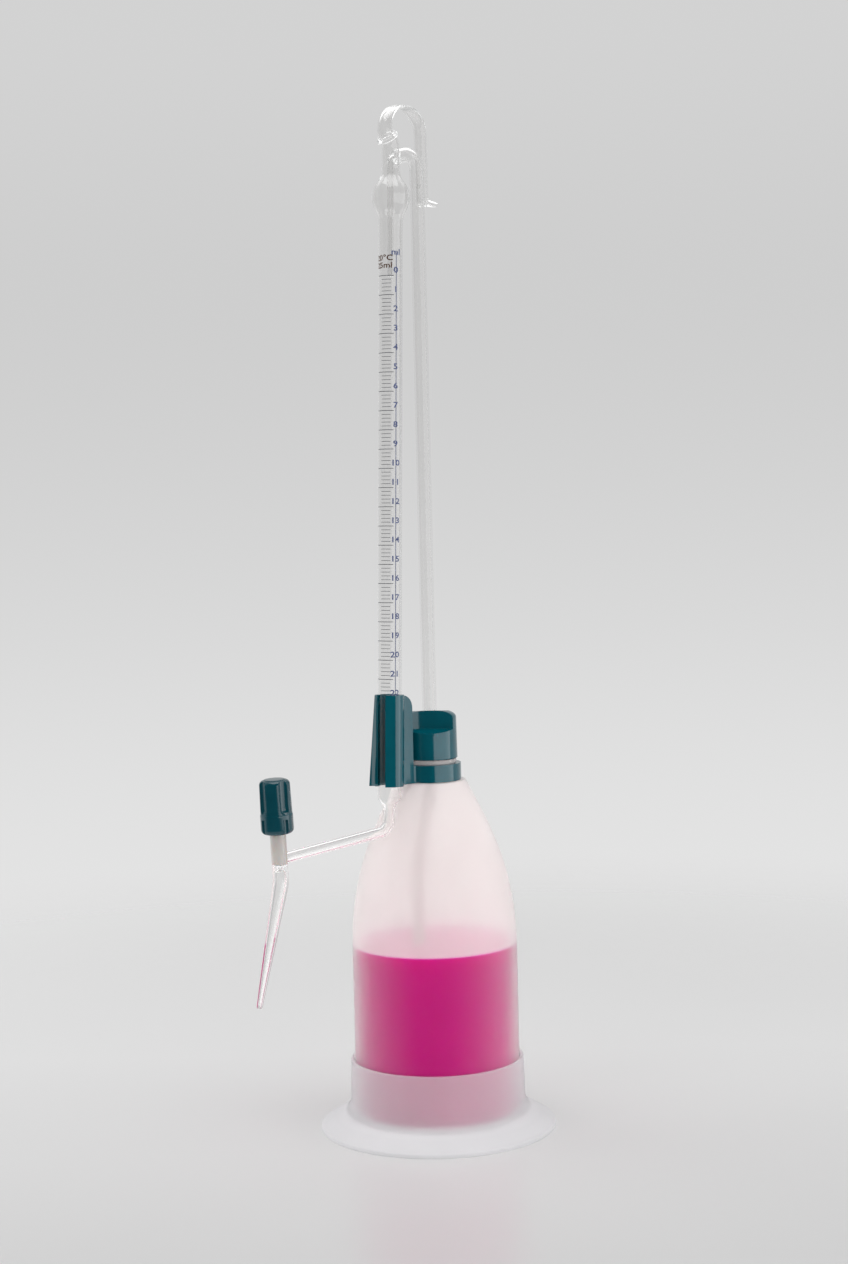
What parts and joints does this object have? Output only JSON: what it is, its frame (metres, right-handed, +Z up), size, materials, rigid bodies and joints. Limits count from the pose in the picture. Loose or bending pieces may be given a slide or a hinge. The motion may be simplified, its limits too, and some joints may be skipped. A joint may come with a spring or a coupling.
{
  "type": "automatic burette",
  "caption": "Free-standing automatic burette: squeeze bottle in a broad foot, glass riser, self-zeroing graduated tube with bulb and vent arch, side outlet with needle valve and knob.",
  "frame": {"origin": "centre of the foot's underside, on the bottle's axis", "axes": "+Z up along the bottle's axis; the burette, outlet arm and valve lie toward -X, in the XZ plane"},
  "size_m": [0.2029, 0.1314, 0.5661],
  "materials": {
    "foot_polyethylene": "satin, slightly translucent",
    "bottle_polyethylene": "frosted, translucent",
    "titrant": "clear magenta liquid",
    "teal_plastic": "glossy moulded",
    "clear_glass": "clear fire-polished",
    "spindle_ptfe": "white, waxy",
    "seal_rubber": "matt"
  },
  "bodies": {
    "foot": {"base_foot": "foot_polyethylene"},
    "bottle": {"reservoir_bottle": "bottle_polyethylene", "titrant_liquid": "titrant"},
    "cap_seal": {"cap_liner": "bottle_polyethylene", "riser_grommet": "seal_rubber"},
    "cap": {"screw_cap": "teal_plastic"},
    "head": {"burette_holder": "teal_plastic", "riser_tube": "clear_glass", "riser_elbow": "clear_glass", "dip_tube": "bottle_polyethylene", "burette_tube": "clear_glass", "burette_mouth": "clear_glass", "fill_tip": "clear_glass", "vent_arch": "clear_glass", "vent_leg": "clear_glass", "vent_bridge": "clear_glass", "outlet_arm": "clear_glass", "valve_barrel": "clear_glass", "jet_tip": "clear_glass"},
    "spindle": {"valve_spindle": "spindle_ptfe", "spindle_o_ring": "seal_rubber"},
    "knob": {"valve_knob": "teal_plastic"}
  },
  "joints": [
    {"name": "bottle_lift", "type": "slide", "parent": "foot", "child": "bottle", "axis": [0, 0, 1], "range_m": [0, 0.045]},
    {"name": "head_swivel", "type": "hinge", "parent": "bottle", "child": "head", "pos_m": [0, 0, 0.2], "axis": [0, 0, 1], "range_deg": [-180, 180]},
    {"name": "cap_rise", "type": "slide", "parent": "bottle", "child": "cap_seal", "axis": [0, 0, 1], "range_m": [0, 0.009]},
    {"name": "cap_turn", "type": "hinge", "parent": "cap_seal", "child": "cap", "pos_m": [0, 0, 0.22], "axis": [0, 0, 1], "range_deg": [0, 1080]},
    {"name": "spindle_rise", "type": "slide", "parent": "head", "child": "spindle", "axis": [-0.0541, 0, 0.9985], "range_m": [0, 0.004]},
    {"name": "knob_turn", "type": "hinge", "parent": "spindle", "child": "knob", "pos_m": [-0.11842, 0, 0.16628], "axis": [-0.0541, 0, 0.9985], "range_deg": [0, 900]}
  ],
  "couplings": [
    {"joint": "cap_rise", "follows": "cap_turn", "m_per_rad": 0.00047746},
    {"joint": "spindle_rise", "follows": "knob_turn", "m_per_rad": 0.00025464}
  ]
}
